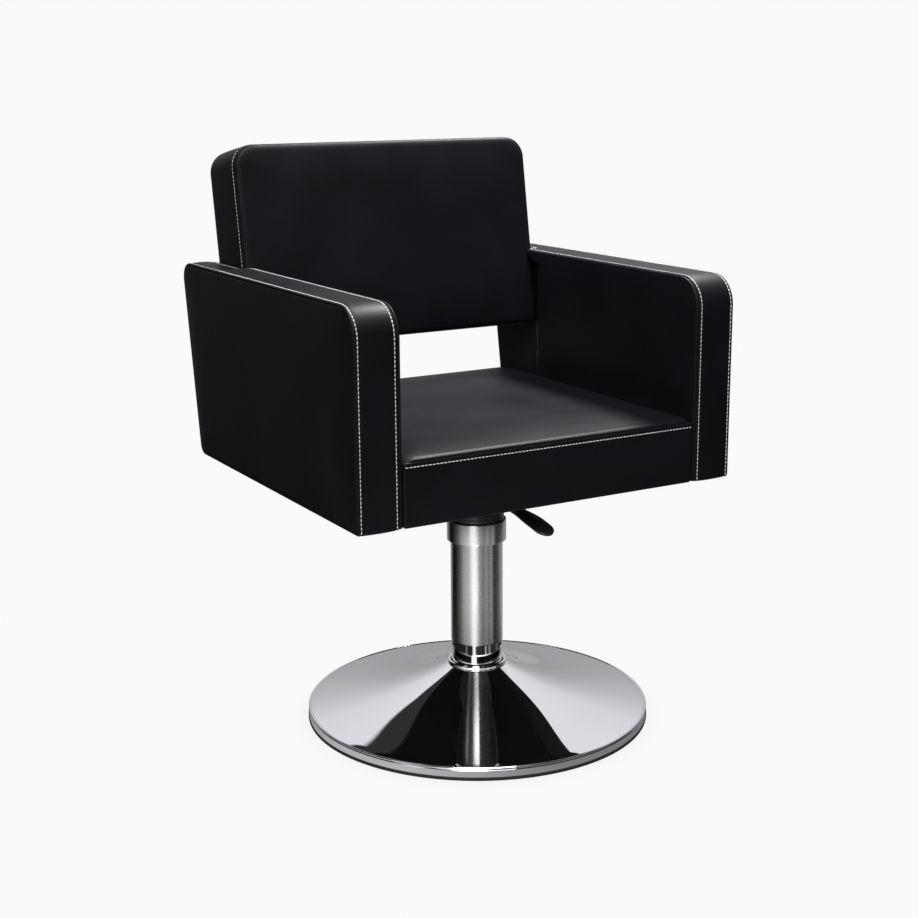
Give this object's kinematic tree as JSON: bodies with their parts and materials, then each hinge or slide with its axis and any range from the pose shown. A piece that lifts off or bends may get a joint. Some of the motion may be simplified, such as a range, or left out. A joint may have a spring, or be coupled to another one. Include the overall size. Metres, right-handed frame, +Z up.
{
  "type": "styling chair",
  "caption": "Square-armed black upholstered salon styling chair that swivels and lifts on a gas column over a round trumpet base, with a hand lever under the seat.",
  "frame": {"origin": "on the floor under the column's axis, in the plane of the rubber base pad's underside", "axes": "+Z up along the column, -Y towards the front of the seat, +X to the right as seen from the front (the sitter's left); left and right in node names are as seen from the front"},
  "size_m": [0.656, 0.691, 0.9208],
  "materials": {
    "black_leather": "satin",
    "mirror_chrome": "polished",
    "brushed_steel": "satin",
    "zinc_steel": "satin",
    "black_painted_steel": "satin",
    "ballast_iron": "matte",
    "black_rubber": "matte",
    "black_plastic": "satin",
    "white_acetal": "satin",
    "birch_plywood": "matte",
    "black_lining": "matte"
  },
  "bodies": {
    "base": {"floor_pad": "black_rubber", "edge_gasket": "black_rubber", "ballast_plate": "ballast_iron", "base_cover": "mirror_chrome", "neck_ring": "mirror_chrome", "standpipe": "black_painted_steel", "flange_bolt_1": "zinc_steel", "flange_bolt_2": "zinc_steel", "flange_bolt_3": "zinc_steel", "column_tube": "mirror_chrome", "tube_spacer": "white_acetal", "guide_bush": "white_acetal", "thrust_washer_lower": "zinc_steel", "thrust_ball_cage": "zinc_steel"},
    "swivel": {"thrust_washer_upper": "zinc_steel", "piston_rod": "zinc_steel", "retaining_clip": "zinc_steel"},
    "seat": {"seat_cushion": "black_leather", "seat_front_band": "black_leather", "seat_rear_band": "black_leather", "left_arm_pad": "black_leather", "right_arm_pad": "black_leather", "back_cushion": "black_leather", "back_rear_pad": "black_leather", "column_sleeve": "brushed_steel", "column_collar": "brushed_steel", "plate_bolt_1": "zinc_steel", "plate_bolt_2": "zinc_steel", "plate_bolt_3": "zinc_steel", "plate_bolt_4": "zinc_steel", "left_arm_bolt_1": "zinc_steel", "left_arm_bolt_2": "zinc_steel", "right_arm_bolt_1": "zinc_steel", "right_arm_bolt_2": "zinc_steel", "left_back_bolt_1": "zinc_steel", "left_back_bolt_2": "zinc_steel", "right_back_bolt_1": "zinc_steel", "right_back_bolt_2": "zinc_steel", "lever_pivot_pin": "zinc_steel", "gas_cylinder": "black_painted_steel", "taper_hub": "black_painted_steel", "mounting_plate": "black_painted_steel", "lever_bracket": "black_painted_steel", "hub_cover": "black_plastic", "mount_board": "birch_plywood", "front_rail": "birch_plywood", "rear_rail": "birch_plywood", "left_rail": "birch_plywood", "right_rail": "birch_plywood", "seat_board": "birch_plywood", "left_arm_core": "birch_plywood", "right_arm_core": "birch_plywood", "left_arm_batten": "birch_plywood", "right_arm_batten": "birch_plywood", "back_board": "birch_plywood", "dust_cover": "black_lining"},
    "lever": {"lever_arm": "black_painted_steel", "lever_paddle": "black_plastic"},
    "valve": {"valve_pin": "zinc_steel"}
  },
  "joints": [
    {"name": "swivel", "type": "hinge", "parent": "base", "child": "swivel", "pos_m": [0, 0, 0.03], "axis": [0, 0, 1], "continuous": true},
    {"name": "seat_lift", "type": "slide", "parent": "swivel", "child": "seat", "axis": [0, 0, 1], "range_m": [0, 0.12]},
    {"name": "lever_pull", "type": "hinge", "parent": "seat", "child": "lever", "pos_m": [0, -0.04, 0.3846], "axis": [-1, 0, 0], "range_deg": [0, 5]},
    {"name": "valve_press", "type": "slide", "parent": "seat", "child": "valve", "axis": [0, 0, -1], "range_m": [0, 0.0036]}
  ],
  "couplings": [
    {"joint": "valve_press", "follows": "lever_pull", "m_per_rad": 0.04}
  ]
}
